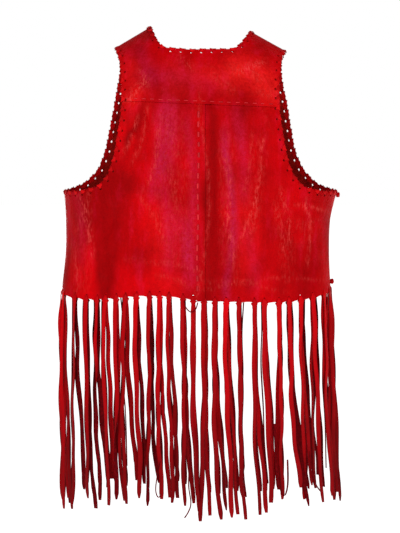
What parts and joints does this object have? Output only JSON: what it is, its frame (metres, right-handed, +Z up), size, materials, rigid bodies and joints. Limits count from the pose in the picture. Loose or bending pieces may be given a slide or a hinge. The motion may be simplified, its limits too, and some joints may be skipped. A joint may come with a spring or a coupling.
{
  "type": "fringed leather vest",
  "caption": "Sleeveless hip-length leather vest with a back yoke, whip-laced edges and a long thong fringe round the hem, hollow as if worn.",
  "frame": {"origin": "between back and front, in the middle of the body, at the mean height of the shoulder seams, where the wearer's shoulders carry the vest", "axes": "+Z up, +Y out of the fronts, -Y out of the back, +X towards the wearer's right"},
  "size_m": [0.4582, 0.2335, 0.783],
  "materials": {
    "grain_leather": "semi-gloss red grain side",
    "lacing_thong": "satin",
    "fringe_thong": "satin, darker towards the ends"
  },
  "bodies": {
    "root": {"back_left": "grain_leather", "back_right": "grain_leather", "back_yoke": "grain_leather", "front_left": "grain_leather", "front_right": "grain_leather", "lacing_neck": "lacing_thong", "lacing_armhole_left": "lacing_thong", "lacing_armhole_right": "lacing_thong", "fringe_back_left": "fringe_thong", "fringe_back_right": "fringe_thong", "fringe_front_left": "fringe_thong", "fringe_front_right": "fringe_thong", "knot_armpit_right": "lacing_thong", "knot_hem_right": "lacing_thong"}
  },
  "joints": []
}
